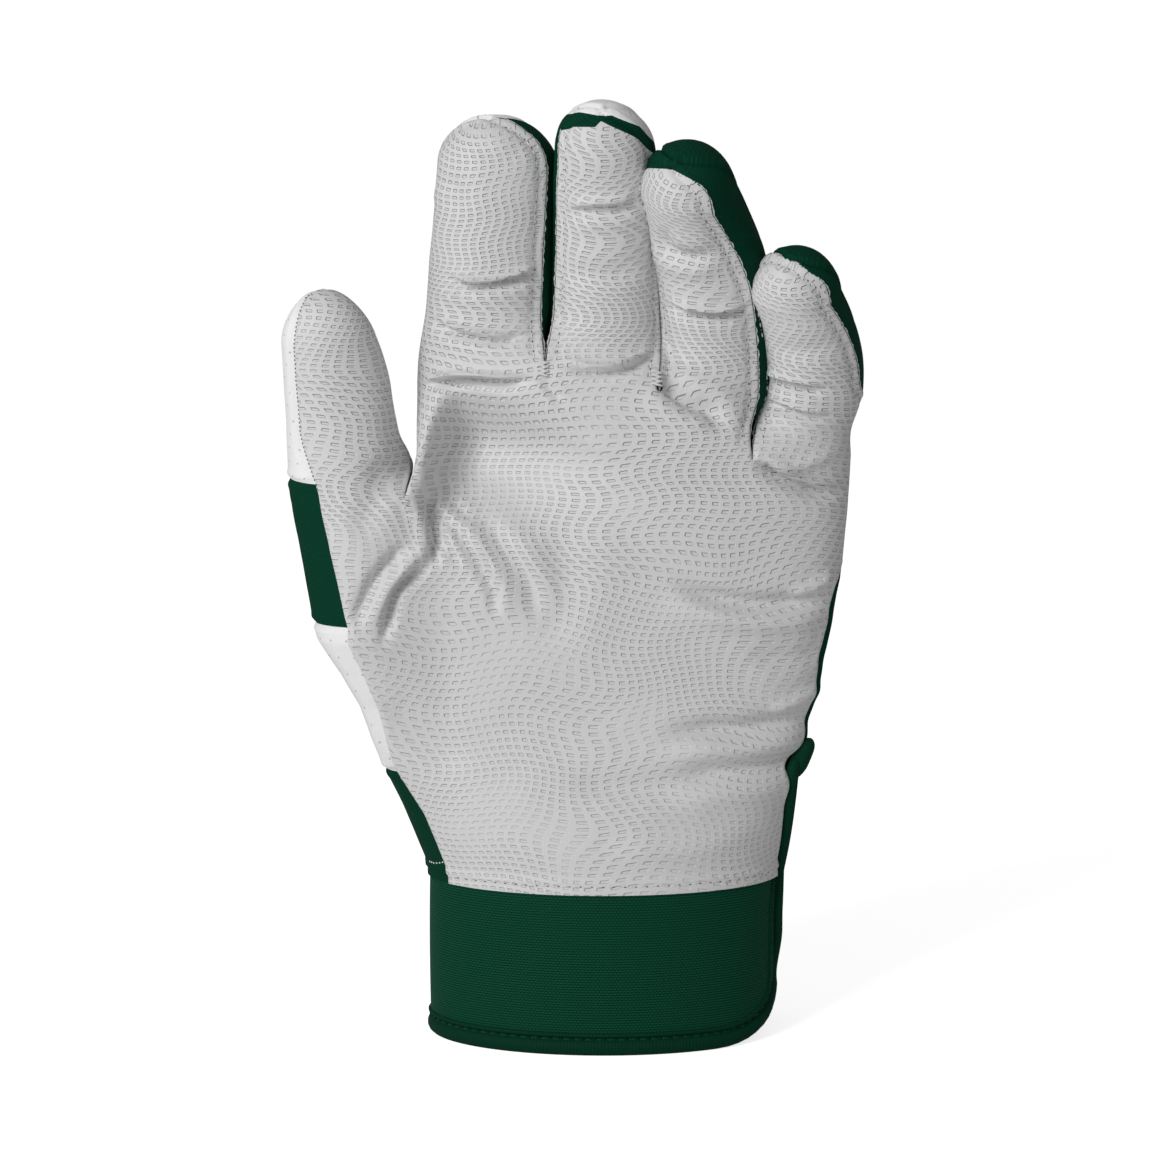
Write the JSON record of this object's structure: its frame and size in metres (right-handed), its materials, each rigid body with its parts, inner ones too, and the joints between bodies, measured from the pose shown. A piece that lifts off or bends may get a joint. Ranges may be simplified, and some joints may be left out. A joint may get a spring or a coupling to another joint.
{
  "type": "batting glove",
  "caption": "Left-hand batting glove with leather palm, stretch back and fourchettes, knitted cuff, wrist slit and hook-and-loop strap; digits flex at base and knuckle.",
  "frame": {"origin": "middle of the glove's outline seen from above, on the plane of the cuff's hem", "axes": "+Z from the hem to the fingertips, -Y out of the palm, -X towards the thumb"},
  "size_m": [0.1346, 0.057, 0.2248],
  "materials": {
    "leather": "matt white grained palm leather",
    "stretch_fabric": "dark green knitted stretch fabric",
    "neoprene": "dark green fine-ribbed cuff fabric over foam",
    "binding_tape": "dark green ribbed binding tape",
    "hook_and_loop": "dark green hook-and-loop tape",
    "moulded_rubber": "dark green moulded rubber"
  },
  "bodies": {
    "hand": {"palm_panel": "leather", "back_panel": "stretch_fabric", "gusset_index_middle": "stretch_fabric", "gusset_middle_ring": "stretch_fabric", "gusset_ring_little": "stretch_fabric", "ulnar_side": "stretch_fabric", "wrist_gusset": "stretch_fabric", "thumb_wedge": "leather", "thumb_insert_lower": "stretch_fabric", "cuff_band": "neoprene", "hem_binding": "binding_tape", "slit_binding_palm": "binding_tape", "slit_binding_back": "binding_tape", "slit_tab": "binding_tape", "loop_patch": "hook_and_loop"},
    "strap": {"hook_patch": "hook_and_loop", "closure_strap": "neoprene", "strap_pull_tab": "moulded_rubber"},
    "thumb": {"thumb_insert": "stretch_fabric", "thumb_base_side": "leather", "thumb_base_front": "leather", "thumb_base_back": "stretch_fabric"},
    "thumb_end": {"thumb_end_side": "leather", "thumb_end_front": "leather", "thumb_end_back": "stretch_fabric"},
    "index": {"index_base_front": "leather", "index_base_back": "leather", "index_base_ulnar_fourchette": "stretch_fabric"},
    "index_end": {"index_end_front": "leather", "index_end_back": "leather", "index_end_ulnar_fourchette": "stretch_fabric"},
    "middle": {"middle_base_front": "leather", "middle_base_back": "leather", "middle_base_radial_fourchette": "stretch_fabric", "middle_base_ulnar_fourchette": "stretch_fabric"},
    "middle_end": {"middle_end_front": "leather", "middle_end_back": "leather", "middle_end_radial_fourchette": "stretch_fabric", "middle_end_ulnar_fourchette": "stretch_fabric"},
    "ring": {"ring_base_front": "leather", "ring_base_back": "stretch_fabric", "ring_base_radial_fourchette": "stretch_fabric", "ring_base_ulnar_fourchette": "stretch_fabric"},
    "ring_end": {"ring_end_front": "leather", "ring_end_back": "stretch_fabric", "ring_end_radial_fourchette": "stretch_fabric", "ring_end_ulnar_fourchette": "stretch_fabric"},
    "little": {"little_base_front": "leather", "little_base_back": "stretch_fabric", "little_base_radial_fourchette": "stretch_fabric", "little_base_ulnar_fourchette": "stretch_fabric"},
    "little_end": {"little_end_front": "leather", "little_end_back": "stretch_fabric", "little_end_radial_fourchette": "stretch_fabric", "little_end_ulnar_fourchette": "stretch_fabric"}
  },
  "joints": [
    {"name": "thumb_base_flex", "type": "hinge", "parent": "hand", "child": "thumb", "pos_m": [-0.05664, -0.02209, 0.124], "axis": [1, 0, 0], "range_deg": [0, 40], "stiffness_Nm_per_rad": 0.03},
    {"name": "thumb_knuckle_flex", "type": "hinge", "parent": "thumb", "child": "thumb_end", "pos_m": [-0.05577, -0.02241, 0.14834], "axis": [1, 0, 0], "range_deg": [0, 60], "stiffness_Nm_per_rad": 0.03},
    {"name": "index_base_flex", "type": "hinge", "parent": "hand", "child": "index", "pos_m": [-0.01094, -0.01756, 0.165], "axis": [1, 0, 0], "range_deg": [0, 75], "stiffness_Nm_per_rad": 0.03},
    {"name": "index_knuckle_flex", "type": "hinge", "parent": "index", "child": "index_end", "pos_m": [-0.02139, -0.01539, 0.18513], "axis": [1, 0, 0], "range_deg": [0, 80], "stiffness_Nm_per_rad": 0.03},
    {"name": "middle_base_flex", "type": "hinge", "parent": "hand", "child": "middle", "pos_m": [0.0063, -0.0183, 0.165], "axis": [1, 0, 0], "range_deg": [0, 75], "stiffness_Nm_per_rad": 0.03},
    {"name": "middle_knuckle_flex", "type": "hinge", "parent": "middle", "child": "middle_end", "pos_m": [0.00538, -0.01699, 0.18566], "axis": [1, 0, 0], "range_deg": [0, 80], "stiffness_Nm_per_rad": 0.03},
    {"name": "ring_base_flex", "type": "hinge", "parent": "hand", "child": "ring", "pos_m": [0.0189, -0.01759, 0.161], "axis": [1, 0, 0], "range_deg": [0, 75], "stiffness_Nm_per_rad": 0.03},
    {"name": "ring_knuckle_flex", "type": "hinge", "parent": "ring", "child": "ring_end", "pos_m": [0.03117, -0.01773, 0.1794], "axis": [1, 0, 0], "range_deg": [0, 80], "stiffness_Nm_per_rad": 0.03},
    {"name": "little_base_flex", "type": "hinge", "parent": "hand", "child": "little", "pos_m": [0.04282, -0.01602, 0.145], "axis": [1, 0, 0], "range_deg": [0, 75], "stiffness_Nm_per_rad": 0.03},
    {"name": "little_knuckle_flex", "type": "hinge", "parent": "little", "child": "little_end", "pos_m": [0.05813, -0.01593, 0.16026], "axis": [1, 0, 0], "range_deg": [0, 80], "stiffness_Nm_per_rad": 0.03},
    {"name": "strap_peel", "type": "hinge", "parent": "hand", "child": "strap", "pos_m": [0.0494, -0.00549, 0.0228], "axis": [0, 0, -1], "range_deg": [0, 100]}
  ]
}
